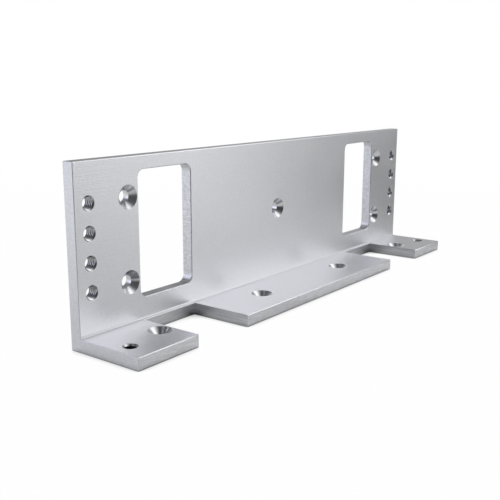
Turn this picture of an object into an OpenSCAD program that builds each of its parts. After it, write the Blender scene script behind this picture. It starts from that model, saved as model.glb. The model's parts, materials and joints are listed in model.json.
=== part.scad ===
// Angle bracket that carries a surface-fixed magnetic door lock.
// One length of aluminium angle with an upright leg and a foot. Two windows go
// through the upright leg, and under each of them a notch is cut out of the foot,
// which leaves a tab at each end and a wide one in the middle.
// It stands on its foot: X runs along the angle, -Y points to the foot's front
// edge and +Z points up. The origin is on the underside, below the middle of the
// length and of the depth.

/* [Angle] */
// Length of the angle, end to end
angle_len = 268; // [230:1:320]
// Height of the upright leg's top edge over the underside
leg_h = 76; // [68:0.5:110]
// Thickness of the upright leg
leg_t = 5.6; // [4:0.1:8]
// Depth of the foot, from the leg's back face to the foot's front edge
foot_d = 38; // [33:0.5:60]
// Thickness of the foot
foot_t = 5.6; // [4:0.1:8]
// Radius in the inside corner, where the leg meets the foot
inside_r = 1; // [0.4:0.1:2]
// Radius on the long outer edges
edge_r = 0.5; // [0.2:0.1:1]

/* [Windows and notches] */
// Distance from each end of the angle to its window and notch, the width of an end tab
end_tab_w = 34; // [24:0.5:48]
// Width of a window, and of the notch under it
cut_w = 32.4; // [20:0.2:44]
// Height of a window's lower side over the underside
sill_h = 15.2; // [10:0.1:24]
// Metal left above a window
head_h = 6; // [4:0.1:16]
// Radius of a window's corners
window_r = 3.6; // [1.5:0.1:8]
// Width of the broken edge round a window
rim_break = 0.3; // [0.1:0.05:0.8]
// Ledge of the foot that a notch leaves in front of the leg
ledge_d = 1.2; // [0.6:0.1:4]

/* [Screw holes] */
// Diameter of a screw hole
screw_d = 5.3; // [4.3:0.1:6.4]
// Diameter of a countersink at the surface
sink_d = 10.4; // [8:0.1:11]
// Distance from a window's outer side to the screw holes beside it
screw_to_window = 6; // [5.8:0.1:9]
// Distance from the back face to the screw holes in the foot
foot_screw_y = 22; // [16:0.5:26]
// Distance between the two screw holes in the middle tab
mid_screw_gap = 71; // [30:1:80]

/* [Tapped holes] */
// Outside diameter of the screw thread
thread_d = 6; // [4:0.5:8]
// Pitch of the screw thread
thread_pitch = 1; // [0.5:0.05:1.25]
// Distance from each end of the angle to its tapped holes
tapped_x = 7; // [6:0.5:12]
// Height of the lowest row of holes over the underside
row_z = 23.3; // [13:0.1:28]
// Distance between rows of holes
row_pitch = 12; // [9.5:0.1:14]
// Rows of tapped holes
row_count = 4; // [2:1:4]
// Distance from the back face to the tapped holes in the foot
foot_tapped_y = 26.6; // [12:0.1:28]

/* [Hidden] */
// Every round surface is drawn with this many sides
$fn = 96;
// How far a cutter runs past the metal
over = 1;
back_y = foot_d / 2;
front_y = -foot_d / 2;
// Front face of the upright leg
leg_y = back_y - leg_t;
end_x = angle_len / 2;
// Middle of each window and notch, on the +X side
cut_x = end_x - end_tab_w - cut_w / 2;
window_h = leg_h - head_h - sill_h;
window_z = sill_h + window_h / 2;
screw_x = end_x - end_tab_w + screw_to_window;
row_last = row_count - 1;
top_row_z = row_z + row_last * row_pitch;
mid_row_z = (row_z + top_row_z) / 2;
// The countersinks have sides at 45 degrees
sink_depth = (sink_d - screw_d) / 2;
// A tapping drill is as much smaller than the thread as its pitch
core_d = thread_d - thread_pitch;
// The mouths of the tapped holes are chamfered to just over the thread
mouth_d = thread_d + 0.4;
mouth_depth = (mouth_d - core_d) / 2;

// One outer corner of the section, to cut off: it lies at the origin and the
// metal lies towards +X and +Y
module corner_waste() {
    difference() {
        translate([-over, -over]) square(edge_r + over);
        translate([edge_r, edge_r]) circle(edge_r);
    }
}

// The corners of the section, each with the turn that aims corner_waste at it
module outer_corners() {
    translate([front_y, 0]) corner_waste();
    translate([back_y, 0]) rotate(90) corner_waste();
    translate([back_y, leg_h]) rotate(180) corner_waste();
    translate([leg_y, leg_h]) rotate(270) corner_waste();
    translate([front_y, foot_t]) rotate(270) corner_waste();
}

// Metal that fills the inside corner out to its radius
module inside_fillet() {
    translate([leg_y - inside_r, foot_t])
        difference() {
            square(inside_r);
            translate([0, inside_r]) circle(inside_r);
        }
}

// Section of the angle, with Y across and Z up the page
module section() {
    difference() {
        union() {
            translate([front_y, 0]) square([foot_d, foot_t]);
            translate([leg_y, 0]) square([leg_t, leg_h]);
            inside_fillet();
        }
        outer_corners();
    }
}

module angle_stock() {
    translate([-end_x, 0, 0])
        rotate([90, 0, 90])
            linear_extrude(angle_len) section();
}

// The cutters below go down from a face at z = 0, through a plate of thickness t

// Straight walls of a window w wide and h high
module window_walls(t, w, h, r) {
    translate([0, 0, -t - over])
        linear_extrude(t + 2 * over) {
            square([w - 2 * r, h], center = true);
            square([w, h - 2 * r], center = true);
            for (side = [-1, 1], rise = [-1, 1])
                translate([side * (w / 2 - r), rise * (h / 2 - r)]) circle(r);
        }
}

// A bar of length run along X, half_w to each side at the bottom and wider
// towards the top, with sides at 45 degrees
module flared_bar(run, half_w, depth) {
    rotate([90, 0, 90])
        linear_extrude(run, center = true)
            polygon([
                [-half_w, 0],
                [half_w, 0],
                [half_w + depth, depth],
                [-half_w - depth, depth]
            ]);
}

// The broken edge round the face of a window
module window_rim(w, h, r) {
    depth = rim_break + over;
    translate([0, 0, -rim_break]) {
        flared_bar(w - 2 * r, h / 2, depth);
        rotate(90) flared_bar(h - 2 * r, w / 2, depth);
        for (side = [-1, 1], rise = [-1, 1])
            translate([side * (w / 2 - r), rise * (h / 2 - r), 0])
                cylinder(h = depth, r1 = r, r2 = r + depth);
    }
}

module window_cutter(t) {
    window_walls(t, cut_w, window_h, window_r);
    window_rim(cut_w, window_h, window_r);
    translate([0, 0, -t]) mirror([0, 0, 1]) window_rim(cut_w, window_h, window_r);
}

// Countersunk hole for a screw
module screw_cutter(t) {
    rotate_extrude()
        polygon([
            [0, -t - over],
            [screw_d / 2, -t - over],
            [screw_d / 2, -sink_depth],
            [sink_d / 2 + over, over],
            [0, over]
        ]);
}

// Tapped hole at its tapping size, chamfered at both faces
module tapped_cutter(t) {
    rotate_extrude()
        polygon([
            [0, -t - over],
            [mouth_d / 2 + over, -t - over],
            [core_d / 2, mouth_depth - t],
            [core_d / 2, -mouth_depth],
            [mouth_d / 2 + over, over],
            [0, over]
        ]);
}

// Places a cutter on the front face of the leg, going in
module on_leg(x, z) {
    translate([x, leg_y, z]) rotate([90, 0, 0]) children();
}

// Places a cutter on top of the foot, y from the back face, going down
module on_foot(x, y) {
    translate([x, back_y - y, foot_t]) children();
}

module leg_cuts() {
    for (side = [-1, 1]) {
        on_leg(side * cut_x, window_z) window_cutter(leg_t);
        for (z = [row_z, top_row_z])
            on_leg(side * screw_x, z) screw_cutter(leg_t);
        for (row = [0 : row_last])
            on_leg(side * (end_x - tapped_x), row_z + row * row_pitch) tapped_cutter(leg_t);
    }
    on_leg(0, mid_row_z) screw_cutter(leg_t);
}

module foot_cuts() {
    notch_d = foot_d - leg_t - ledge_d + over;
    for (side = [-1, 1]) {
        translate([side * cut_x - cut_w / 2, front_y - over, -over])
            cube([cut_w, notch_d, foot_t + 2 * over]);
        on_foot(side * screw_x, foot_screw_y) screw_cutter(foot_t);
        on_foot(side * mid_screw_gap / 2, foot_screw_y) screw_cutter(foot_t);
        on_foot(side * (end_x - tapped_x), foot_tapped_y) tapped_cutter(foot_t);
    }
}

module bracket() {
    color([0.78, 0.79, 0.8])
        difference() {
            angle_stock();
            leg_cuts();
            foot_cuts();
        }
}

bracket();
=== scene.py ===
"""Looks of the angle bracket: satin silver anodised aluminium, sawn, milled, countersunk and tapped.

It stands on a white studio floor. All sizes are in metres, in the row's frame.
"""
import json
import math

import bmesh
import bpy
from mathutils import Matrix, Vector


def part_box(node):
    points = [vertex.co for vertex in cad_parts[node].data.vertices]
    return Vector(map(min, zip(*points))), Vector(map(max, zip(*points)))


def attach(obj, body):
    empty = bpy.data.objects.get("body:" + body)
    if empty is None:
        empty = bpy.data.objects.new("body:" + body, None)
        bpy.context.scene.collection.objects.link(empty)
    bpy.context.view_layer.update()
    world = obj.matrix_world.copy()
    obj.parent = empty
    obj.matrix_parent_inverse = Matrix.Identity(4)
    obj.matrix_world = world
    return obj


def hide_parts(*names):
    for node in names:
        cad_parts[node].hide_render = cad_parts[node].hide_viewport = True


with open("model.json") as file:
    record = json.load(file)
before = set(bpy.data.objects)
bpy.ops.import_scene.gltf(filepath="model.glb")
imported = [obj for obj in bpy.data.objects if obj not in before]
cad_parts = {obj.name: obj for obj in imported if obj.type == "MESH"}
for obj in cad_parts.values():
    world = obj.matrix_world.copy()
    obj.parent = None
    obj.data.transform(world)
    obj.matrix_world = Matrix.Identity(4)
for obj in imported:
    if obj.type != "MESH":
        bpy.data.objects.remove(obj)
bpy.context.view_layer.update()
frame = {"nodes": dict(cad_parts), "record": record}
MM = 0.001


# Node maths

class Out:
    """An output socket. Sums written with it add Math nodes to its tree."""

    def __init__(self, tree, socket):
        self.tree = tree
        self.socket = socket

    def math(self, operation, *values, **settings):
        inputs = dict(enumerate((self,) + values))
        return self.tree.add("ShaderNodeMath", {"operation": operation, **settings}, inputs)

    def __add__(self, other):
        return self.math("ADD", other)

    def __radd__(self, other):
        return self.math("ADD", other)

    def __sub__(self, other):
        return self.math("SUBTRACT", other)

    def __rsub__(self, other):
        return self.tree.add("ShaderNodeMath", {"operation": "SUBTRACT"}, {0: other, 1: self})

    def __mul__(self, other):
        return self.math("MULTIPLY", other)

    def __rmul__(self, other):
        return self.math("MULTIPLY", other)

    def __truediv__(self, other):
        return self.math("DIVIDE", other)

    def clamped(self):
        return self.math("ADD", 0.0, use_clamp=True)


class Tree:
    """Adds nodes to a node tree: a type, its settings, then the values or links of its sockets."""

    def __init__(self, tree):
        self.tree = tree

    def add(self, kind, settings=None, inputs=None, output=0):
        node = self.tree.nodes.new(kind)
        for name, value in (settings or {}).items():
            setattr(node, name, value)
        for name, value in (inputs or {}).items():
            socket = node.inputs[name]
            if isinstance(value, Out):
                self.tree.links.new(value.socket, socket)
            else:
                socket.default_value = value
        return Out(self, node.outputs[output]) if node.outputs else node

    def vector(self, operation, *values, output=0):
        return self.add("ShaderNodeVectorMath", {"operation": operation}, dict(enumerate(values)), output)


# Faces and holes, from the record's mounts

mounts = {m["name"]: m for m in frame["record"]["mounts"]}
low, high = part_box("bracket")
leg_front = mounts["leg_front"]["pos_m"][1]
foot_top = mounts["foot_top"]["pos_m"][2]


def hole_places(mount):
    """Centres of a mount's holes, in the row's frame."""
    across = [Vector(row) for row, part in zip(Matrix.Identity(3), mount["axis"]) if not part]
    half = [mount["dims"].get(name, 0.0) / 2 * MM for name in ("spacing_x_mm", "spacing_y_mm")]
    centre = Vector(mount["pos_m"])
    places = []
    # Each set has one value where the pattern has no spacing that way
    for a in {-half[0], half[0]}:
        for b in {-half[1], half[1]}:
            places.append(centre + across[0] * a + across[1] * b)
    return places


def holes_of(part_of_name):
    """(centre, axis) of every hole whose mount's name holds these words."""
    found = []
    for name, mount in mounts.items():
        if part_of_name in name:
            found += [(place, Vector(mount["axis"])) for place in hole_places(mount)]
    return found


tapped_holes = holes_of("tapped")
screw_holes = holes_of("screw_hole")


def off_axis(point, hole):
    """Distance of a point from a hole's axis."""
    centre, axis = hole
    away = point - centre
    return (away - axis * away.dot(axis)).length


# The bracket's mesh

PITCH = 1.0 * MM
TAPPING_RADIUS = mounts["foot_tapped_holes"]["dims"]["hole_r_mm"] * MM
THREAD_DIAMETER = 2 * TAPPING_RADIUS + PITCH
# Each tap runs well past both faces of the metal
TAP_RUN = 9.0 * MM
TAP_STEPS = 40
# How wide the edges are broken, and those where the saw cut the angle off
EDGE_BREAK = 0.17 * MM
SAWN_BREAK = 0.24 * MM


def thread_tree(finish):
    """Nodes that put one helical tooth at each point: the groove that a tap cuts."""
    group = bpy.data.node_groups.new("tap_teeth", "GeometryNodeTree")
    inputs = {}
    group.interface.new_socket("Points", in_out="INPUT", socket_type="NodeSocketGeometry")
    for name, kind in (("Thread diameter", "NodeSocketFloat"), ("Pitch", "NodeSocketFloat"),
                       ("Run", "NodeSocketFloat"), ("Steps a turn", "NodeSocketInt")):
        inputs[name] = group.interface.new_socket(name, in_out="INPUT", socket_type=kind).identifier
    group.interface.new_socket("Teeth", in_out="OUTPUT", socket_type="NodeSocketGeometry")
    tree = Tree(group)
    given = group.nodes.new("NodeGroupInput")
    diameter, pitch, run = (Out(tree, given.outputs[n]) for n in ("Thread diameter", "Pitch", "Run"))
    # A 60 degree tooth, centred on the helix, an eighth of the pitch wide at its tip
    depth, foot, tip = pitch * 0.7, pitch * 0.933, pitch * 0.125
    radius = diameter * 0.5 - pitch * 0.35
    helix = tree.add("GeometryNodeCurveSpiral", {}, {
        "Resolution": Out(tree, given.outputs["Steps a turn"]), "Rotations": run / pitch,
        "Start Radius": radius, "End Radius": radius, "Height": run, "Reverse": True})
    upright = tree.add("GeometryNodeSetCurveNormal", {"mode": "Z_UP"}, {"Curve": helix})
    tooth = tree.add("GeometryNodeCurvePrimitiveQuadrilateral", {"mode": "TRAPEZOID"}, {
        "Bottom Width": foot, "Top Width": tip, "Height": depth, "Offset": 0.0})
    outwards = tree.add("GeometryNodeTransform", {}, {
        "Geometry": tooth, "Rotation": (0.0, 0.0, -math.pi / 2)})
    swept = tree.add("GeometryNodeCurveToMesh", {}, {
        "Curve": upright, "Profile Curve": outwards, "Fill Caps": True})
    middle = tree.add("ShaderNodeCombineXYZ", {}, {"Z": run * -0.5})
    centred = tree.add("GeometryNodeTransform", {}, {"Geometry": swept, "Translation": middle})
    bore = tree.add("GeometryNodeInputNamedAttribute", {"data_type": "FLOAT_VECTOR"}, {"Name": "bore_axis"})
    turn = tree.add("FunctionNodeAlignRotationToVector", {"axis": "Z"}, {"Vector": bore})
    placed = tree.add("GeometryNodeInstanceOnPoints", {}, {
        "Points": Out(tree, given.outputs["Points"]), "Instance": centred, "Rotation": turn})
    real = tree.add("GeometryNodeRealizeInstances", {}, {"Geometry": placed})
    painted = tree.add("GeometryNodeSetMaterial", {}, {"Geometry": real, "Material": finish})
    last = group.nodes.new("NodeGroupOutput")
    group.links.new(painted.socket, last.inputs["Teeth"])
    return group, inputs


def plain_mesh(obj, name):
    """The evaluated mesh of an object, as a mesh of its own."""
    view = bpy.context.evaluated_depsgraph_get()
    mesh = bpy.data.meshes.new_from_object(obj.evaluated_get(view))
    mesh.name = name
    return mesh


def tap_teeth(finish):
    """The object that cuts the threads of all the tapped holes."""
    points = bpy.data.meshes.new("tapped_places")
    points.from_pydata([place for place, axis in tapped_holes], [], [])
    bore = points.attributes.new("bore_axis", "FLOAT_VECTOR", "POINT")
    for item, (place, axis) in zip(bore.data, tapped_holes):
        item.vector = axis
    obj = bpy.data.objects.new("tap_teeth", points)
    bpy.context.scene.collection.objects.link(obj)
    group, inputs = thread_tree(finish)
    modifier = obj.modifiers.new("teeth", "NODES")
    modifier.node_group = group
    modifier[inputs["Thread diameter"]] = THREAD_DIAMETER
    modifier[inputs["Pitch"]] = PITCH
    modifier[inputs["Run"]] = TAP_RUN
    modifier[inputs["Steps a turn"]] = TAP_STEPS
    mesh = plain_mesh(obj, "tap_teeth")
    obj.modifiers.clear()
    obj.data = mesh
    return obj


def broken_edges(source):
    """A copy of the solid's mesh with its crisp outer edges broken."""
    same_point, same_plane, crisp_angle = 0.001 * MM, math.radians(0.3), math.radians(60)
    near_end = high.x - 1 * MM
    bm = bmesh.new()
    bm.from_mesh(source)
    bmesh.ops.remove_doubles(bm, verts=bm.verts, dist=same_point)
    bmesh.ops.dissolve_limit(bm, angle_limit=same_plane, verts=bm.verts[:], edges=bm.edges[:])
    for at_end, width in ((True, SAWN_BREAK), (False, EDGE_BREAK)):
        crisp = [edge for edge in bm.edges if edge.calc_face_angle_signed(0.0) > crisp_angle
                 and at_end == (abs(edge.verts[0].co.x) > near_end)]
        bmesh.ops.bevel(bm, geom=crisp, offset=width, segments=3, profile=0.5, affect="EDGES",
                        clamp_overlap=False, loop_slide=True)
    mesh = bpy.data.meshes.new("bracket_looks")
    bm.to_mesh(mesh)
    bm.free()
    return mesh


def bracket_piece(finishes):
    """The bracket as it is shown: the solid's shape with broken edges and cut threads."""
    solid = frame["nodes"]["bracket"]
    piece = bpy.data.objects.new("bracket_finished", broken_edges(solid.data))
    bpy.context.scene.collection.objects.link(piece)
    teeth = tap_teeth(finishes["thread"])
    tapping = piece.modifiers.new("tapping", "BOOLEAN")
    tapping.operation = "DIFFERENCE"
    tapping.solver = "MANIFOLD"
    tapping.object = teeth
    mesh = plain_mesh(piece, "bracket_finished")
    piece.modifiers.clear()
    bpy.data.objects.remove(teeth)
    piece.data = mesh
    shade_by_rims(mesh)
    sort_faces(mesh, finishes)
    return piece


def shade_by_rims(mesh):
    """Makes the faces triangles, smooth but for crisp edges and the rims of flat faces."""
    sliver, square_on, crisp_angle = 0.005 * MM, 0.99999, math.radians(30)
    bm = bmesh.new()
    bm.from_mesh(mesh)
    # Where a tooth grazes an edge, the cut leaves points a few microns apart
    bmesh.ops.remove_doubles(bm, verts=bm.verts[:], dist=sliver)
    bmesh.ops.triangulate(bm, faces=bm.faces[:])
    bm.faces.index_update()
    bm.normal_update()
    for face in bm.faces:
        face.smooth = True
    flat = [max(abs(part) for part in face.normal) > square_on for face in bm.faces]
    for edge in bm.edges:
        sides = {flat[face.index] for face in edge.link_faces}
        edge.smooth = len(sides) == 1 and edge.calc_face_angle(0.0) < crisp_angle
    bm.to_mesh(mesh)
    bm.free()


# Just inside the mouths of the tapped holes and of the countersinks
MOUTH_RADIUS = 3.15 * MM
SINK_RADIUS = 5.15 * MM
# A little over the radius in the inside corner
CORNER_REACH = 1.05 * MM
# No window or notch comes this close to an end
END_TAB = 30 * MM


def finish_of(centre, normal):
    """Which finish a face has, from its place and the way it faces."""
    if min(off_axis(centre, hole) for hole in tapped_holes) < MOUTH_RADIUS:
        return "thread"
    if min(off_axis(centre, hole) for hole in screw_holes) < SINK_RADIUS:
        return "countersink"
    hair, skin, slack, rim = 0.02 * MM, 0.05 * MM, 0.1 * MM, 0.3 * MM
    if abs(normal.x) > 0.9 and abs(centre.x) > high.x - rim:
        return "sawn"
    on_top = abs(centre.z - high.z) < slack
    if centre.y < low.y + slack or on_top:
        return "narrow_edge"
    before_leg = leg_front - centre.y
    over_foot = centre.z - foot_top
    if hair < before_leg < CORNER_REACH and hair < over_foot < CORNER_REACH:
        return "inside_corner"
    if abs(centre.x) > high.x - END_TAB:
        return "extruded"
    if rim < centre.z < foot_top - rim and centre.y < high.y - 1 * MM:
        return "notch_wall"
    in_leg = leg_front + skin < centre.y < high.y - skin
    if in_leg and foot_top + 5 * MM < centre.z < high.z - 1 * MM:
        # The sill has the cutter's lines, as a notch does
        is_sill = normal.z > 0.8
        return "notch_wall" if is_sill else "window_wall"
    return "extruded"


def sort_faces(mesh, finishes):
    """Gives each face of the bracket its finish."""
    order = list(finishes)
    mesh.materials.clear()
    for name in order:
        mesh.materials.append(finishes[name])
    for face in mesh.polygons:
        face.material_index = order.index(finish_of(face.center, face.normal))


# Finishes

SILVER = (0.700, 0.706, 0.732)
# Stretches that draw noise out into lines along the angle
DIE_DRAW = (400.0, 1.0, 1.0)
EDGE_DRAW = (12.0, 1.0, 1.0)
# Stretches that draw noise out into lines across a wall or an end
LEVEL_DRAW = (30.0, 30.0, 1.0)
UPRIGHT_DRAW = (1.0, 1.0, 6.0)


def darker(share):
    """The silver, a little darker; on the notch walls and in the threads this is painted shade."""
    return tuple(part * share for part in SILVER)


def noise(tree, place, size, detail=2.0, stretch=(1.0, 1.0, 1.0)):
    """Noise whose grains are about this many metres across, wider along an axis with a big stretch."""
    spread = tree.add("ShaderNodeMapping", {}, {
        "Vector": place, "Scale": tuple(1 / (size * s) for s in stretch)})
    return tree.add("ShaderNodeTexNoise", {}, {"Vector": spread, "Scale": 1.0, "Detail": detail}, "Fac")


def metal(name, marks, roughness, colour=SILVER, cloud=0.05, grain=1.0):
    """Satin anodised aluminium: marks gives the height of the tool's marks in metres, and their shade."""
    cloud_size, grain_size, pit_size, pit_depth = 26 * MM, 0.55 * MM, 0.30 * MM, 0.008 * MM
    material = bpy.data.materials.new(name)
    material.use_nodes = True
    material.node_tree.nodes.clear()
    tree = Tree(material.node_tree)
    place = tree.add("ShaderNodeTexCoord", {}, {}, "Object")
    tone = noise(tree, place, cloud_size, 3.0) - 0.5
    fine = noise(tree, place, grain_size) - 0.5
    height, stain = marks(tree, place)
    shade = 1.0 + tone * cloud + fine * (0.22 * grain) + stain
    tinted = tree.add("ShaderNodeVectorMath", {"operation": "SCALE"}, {0: colour, "Scale": shade})
    pitted = noise(tree, place, pit_size) * (grain * pit_depth) + height
    bump = tree.add("ShaderNodeBump", {}, {"Height": pitted, "Distance": 1.0, "Strength": 1.0})
    rough = roughness + tone * 0.08 + fine * 0.10
    skin = tree.add("ShaderNodeBsdfPrincipled", {}, {
        "Base Color": tinted, "Metallic": 1.0, "Roughness": rough, "Normal": bump})
    tree.add("ShaderNodeOutputMaterial", {}, {"Surface": skin})
    return material


def die_lines(tree, place):
    """Faint lines that the extrusion die leaves along the angle."""
    width, depth, shade = 0.22 * MM, 0.045 * MM, 0.03
    lines = noise(tree, place, width, 1.0, DIE_DRAW) - 0.5
    return lines * depth, lines * shade


def edge_lines(tree, place):
    """Plainer lines of the die, on the narrow long edges."""
    width, depth, shade = 0.40 * MM, 0.06 * MM, 0.60
    lines = noise(tree, place, width, 2.0, EDGE_DRAW) - 0.5
    return lines * depth, lines * shade


def chatter(tree, place):
    """Uneven bands and patches that the end mill leaves through the metal."""
    band_pitch, wander_size, streak_width, patch_size = 1.2 * MM, 2.6 * MM, 0.5 * MM, 1.5 * MM
    band_depth, streak_depth, patch_depth = 0.01 * MM, 0.05 * MM, 0.2 * MM
    x, z = (tree.add("ShaderNodeSeparateXYZ", {}, {0: place}, name) for name in "XZ")
    wander = noise(tree, place, wander_size) * 9.0
    bands = ((x + z) * (math.tau / band_pitch) + wander).math("SINE")
    streaks = noise(tree, place, streak_width, 2.0, (1.0, 8.0, 1.0)) - 0.5
    patches = noise(tree, place, patch_size, 2.0, (1.0, 1.2, 1.0)) - 0.5
    height = bands * band_depth + streaks * streak_depth + patches * patch_depth
    return height, bands * 0.03 + patches * 0.60


def cut_lines(tree, place):
    """Level lines that the cutter leaves along the walls of a notch."""
    width, depth, shade = 0.45 * MM, 0.07 * MM, 0.90
    lines = noise(tree, place, width, 2.0, LEVEL_DRAW) - 0.5
    return lines * depth, lines * shade


def saw_lines(tree, place):
    """Fine upright lines that the saw leaves on an end, with a speckle."""
    width, speck, depth = 0.45 * MM, 0.7 * MM, 0.03 * MM
    lines = noise(tree, place, width, 2.0, UPRIGHT_DRAW) - 0.5
    speckle = noise(tree, place, speck, 1.0) - 0.5
    return lines * depth + speckle * depth, lines * 0.10 + speckle * 0.26


def no_marks(tree, place):
    """The countersinking bit and the tap leave their cuts smooth."""
    return 0.0, 0.0


finishes = {
    "extruded": metal("extruded_face", die_lines, 0.41),
    "sawn": metal("sawn_end", saw_lines, 0.42),
    "window_wall": metal("window_wall", chatter, 0.38, darker(0.91), cloud=0.10),
    # Darker silver here is painted shade in the notches, also on the window sill
    "notch_wall": metal("notch_wall", cut_lines, 0.42, darker(0.80)),
    "countersink": metal("countersink", no_marks, 0.22, darker(0.92), grain=0.3),
    # Darker silver in the threads is painted shade inside the tapped holes
    "thread": metal("thread", no_marks, 0.20, darker(0.72), grain=0.3),
    "narrow_edge": metal("narrow_edge", edge_lines, 0.42, darker(0.95)),
    "inside_corner": metal("inside_corner", die_lines, 0.55),
}

bracket = bracket_piece(finishes)
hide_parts("bracket")
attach(bracket, "root")


# Floor, light and camera

PLAIN = (1.0, 1.0, 1.0)
COOL = (0.91, 0.94, 1.10)
# The studio's soft lights: azimuth, elevation, how narrow, how bright in the middle, colour
SOFT_LIGHTS = (
    (-45, 17, 17, 3.25, PLAIN),
    (-45, 50, 10, 1.1, PLAIN),
    (140, 8, 8, 1.5, COOL),
    (160, 40, 7, 0.45, COOL),
    (28, 12, 15, 0.6, PLAIN),
    (80, 64, 8, 0.6, PLAIN),
    (180, 26, 9, 0.35, PLAIN),
    (-22, 42, 18, 0.5, PLAIN),
)
# Dark cards that hold light back: azimuth, elevation, how narrow, how much
DARK_CARDS = (
    (-24, 4, 26, 1.0),
    (116, 48, 18, 0.85),
    (-140, 72, 20, 0.85),
)
# Painted glows on the far floor, which only the metal sees: azimuth, how narrow, how bright
PAINTED_FLOOR_GLOWS = (
    (-53, 37, 1.2),
    (130, 3, 0.64),
)
# How bright the painted light on the floor is near the bracket, and far off outside the glows
NEAR_PAINTED_GLOW = 0.49
FAR_PAINTED_GLOW = 0.055
# The painted light that the floor shows in the metal where its level is 1
PAINTED_GLOW_STRENGTH = 1.5
# The near floor ends here, in metres from the origin, and fades into the far one over this much
NEAR_END = 0.12
NEAR_FADE = 0.16
# The floor is the least bit off white out to here, and white this much further on
OFF_WHITE_END = 0.25
OFF_WHITE_FADE = 0.35
# How far the painted shade under the bracket reaches
PAINTED_SHADE_REACH = 12 * MM
# The light that the studio has in every direction
STUDIO_GREY = (0.06, 0.06, 0.06)
WHITE = (1.0, 1.0, 1.0, 1.0)
PAPER_GREY = (0.36, 0.36, 0.36, 1.0)


def heading(azimuth, elevation):
    """A direction: azimuth in degrees from +X towards +Y, and elevation over the floor."""
    turn, rise = math.radians(azimuth), math.radians(elevation)
    return Vector((math.cos(turn) * math.cos(rise), math.sin(turn) * math.cos(rise), math.sin(rise)))


def lobe(tree, way, direction, narrow):
    """1 where a direction is this one, and softly less away from it."""
    aim = tree.vector("DOT_PRODUCT", way, direction, output="Value")
    return ((aim - 1.0) * narrow).math("EXPONENT")


def floor_finish():
    """Paper that is white to the camera, with a shadow under the bracket that is partly painted and partly
    real, and painted uneven light that only the metal sees.
    """
    material = bpy.data.materials.new("floor")
    material.use_nodes = True
    material.node_tree.nodes.clear()
    tree = Tree(material.node_tree)
    place = tree.add("ShaderNodeTexCoord", {}, {}, "Object")
    away = tree.vector("LENGTH", place, output="Value")
    outwards = tree.vector("NORMALIZE", place)
    ray = tree.tree.nodes.new("ShaderNodeLightPath").outputs
    seen = (Out(tree, ray["Is Camera Ray"]) + Out(tree, ray["Is Transmission Ray"])).clamped()
    mirrored = Out(tree, ray["Is Glossy Ray"])
    # Painted shade from occlusion: 1 where the floor lies open, and less close under the metal
    bare = tree.add("ShaderNodeAmbientOcclusion", {"samples": 16}, {"Distance": PAINTED_SHADE_REACH}, "AO")
    painted_shadow_metal = (bare * 2.2 - 0.8).clamped()
    painted_shadow_camera = (bare * 1.6 - 0.1).clamped()
    far = ((away - NEAR_END) / NEAR_FADE).clamped()
    # Painted light on the floor that only the metal sees: bright near the bracket and in a few directions
    # far off
    painted_glow = FAR_PAINTED_GLOW
    for azimuth, narrow, level in PAINTED_FLOOR_GLOWS:
        painted_glow = lobe(tree, outwards, heading(azimuth, 0), narrow) * level + painted_glow
    painted_glow = NEAR_PAINTED_GLOW * (1 - far) + far * painted_glow
    white_out = ((away - OFF_WHITE_END) / OFF_WHITE_FADE).clamped()
    # Painted shadow for the camera: its white fades under the bracket, and there the lit paper shows with
    # its real shadow
    whiteness = seen * (0.99 + white_out * 0.01) * painted_shadow_camera
    paper = tree.add("ShaderNodeBsdfDiffuse", {}, {"Color": PAPER_GREY})
    bright = tree.add("ShaderNodeEmission", {}, {"Color": WHITE, "Strength": PAINTED_GLOW_STRENGTH})
    white = tree.add("ShaderNodeEmission", {}, {"Color": WHITE, "Strength": 1.0})
    dark = tree.add("ShaderNodeEmission", {}, {"Strength": 0.0})
    # Painted shade under the bracket also dims the painted light that the metal sees
    painted_sheen = tree.add("ShaderNodeMixShader", {}, {0: painted_glow * painted_shadow_metal, 1: dark, 2: bright})
    lit = tree.add("ShaderNodeMixShader", {}, {0: mirrored, 1: paper, 2: painted_sheen})
    skin = tree.add("ShaderNodeMixShader", {}, {0: whiteness, 1: lit, 2: white})
    tree.add("ShaderNodeOutputMaterial", {}, {"Surface": skin})
    return material


def floor_piece():
    """A plain square floor, a hair below the bracket so that their faces don't share a plane."""
    half, top = 5.0, -0.05 * MM
    corners = [(-half, -half, top), (half, -half, top), (half, half, top), (-half, half, top)]
    mesh = bpy.data.meshes.new("floor")
    mesh.from_pydata(corners, [], [(0, 1, 2, 3)])
    mesh.materials.append(floor_finish())
    floor = bpy.data.objects.new("floor", mesh)
    bpy.context.scene.collection.objects.link(floor)


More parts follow.
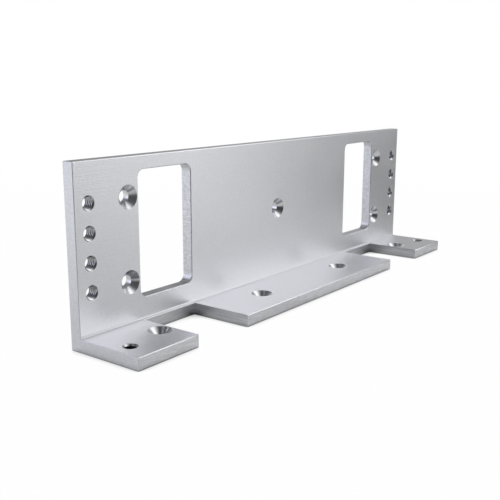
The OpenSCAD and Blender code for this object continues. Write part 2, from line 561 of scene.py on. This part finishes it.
def surroundings():
    """A studio with soft lights and dark cards, which the camera sees as plain white."""
    world = bpy.data.worlds.new("studio")
    bpy.context.scene.world = world
    world.use_nodes = True
    world.node_tree.nodes.clear()
    tree = Tree(world.node_tree)
    way = tree.vector("NORMALIZE", tree.add("ShaderNodeTexCoord", {}, {}, "Generated"))
    light = STUDIO_GREY
    for azimuth, elevation, narrow, level, colour in SOFT_LIGHTS:
        part = lobe(tree, way, heading(azimuth, elevation), narrow) * level
        tinted = tree.add("ShaderNodeVectorMath", {"operation": "SCALE"}, {0: colour, "Scale": part})
        light = tree.vector("ADD", tinted, light)
    for azimuth, elevation, narrow, share in DARK_CARDS:
        held = 1 - lobe(tree, way, heading(azimuth, elevation), narrow) * share
        light = tree.add("ShaderNodeVectorMath", {"operation": "SCALE"}, {0: light, "Scale": held})
    ray = tree.tree.nodes.new("ShaderNodeLightPath").outputs
    room = tree.add("ShaderNodeBackground", {}, {"Color": light, "Strength": 1.0})
    white = tree.add("ShaderNodeBackground", {}, {"Color": WHITE, "Strength": 1.0})
    sky = tree.add("ShaderNodeMixShader", {}, {0: Out(tree, ray["Is Camera Ray"]), 1: room, 2: white})
    tree.add("ShaderNodeOutputWorld", {}, {"Surface": sky})


# The photograph's camera, as fitted to it: its place, its turn in degrees, and its lens in pixels
CAMERA_PLACE = (-0.31803, -0.21180, 0.10526)
CAMERA_HEADING = -52.574
CAMERA_DIP = 12.556
CAMERA_ROLL = 0.16
LENS_PIXELS = 752.9
IMAGE_PIXELS = 500
SENSOR_WIDTH = 36.0


def photo_camera():
    """The photograph's viewpoint."""
    camera = bpy.data.cameras.new("camera")
    camera.sensor_width = SENSOR_WIDTH
    camera.lens = LENS_PIXELS / IMAGE_PIXELS * SENSOR_WIDTH
    camera.clip_start = 0.01
    camera.clip_end = 50.0
    obj = bpy.data.objects.new("camera", camera)
    bpy.context.scene.collection.objects.link(obj)
    turn = (Matrix.Rotation(math.radians(CAMERA_HEADING), 4, "Z")
            @ Matrix.Rotation(math.radians(90 - CAMERA_DIP), 4, "X")
            @ Matrix.Rotation(math.radians(CAMERA_ROLL), 4, "Z"))
    obj.matrix_world = Matrix.Translation(CAMERA_PLACE) @ turn
    bpy.context.scene.camera = obj


floor_piece()
surroundings()
photo_camera()

bpy.context.scene.view_settings.view_transform = "Standard"
bpy.context.view_layer.update()
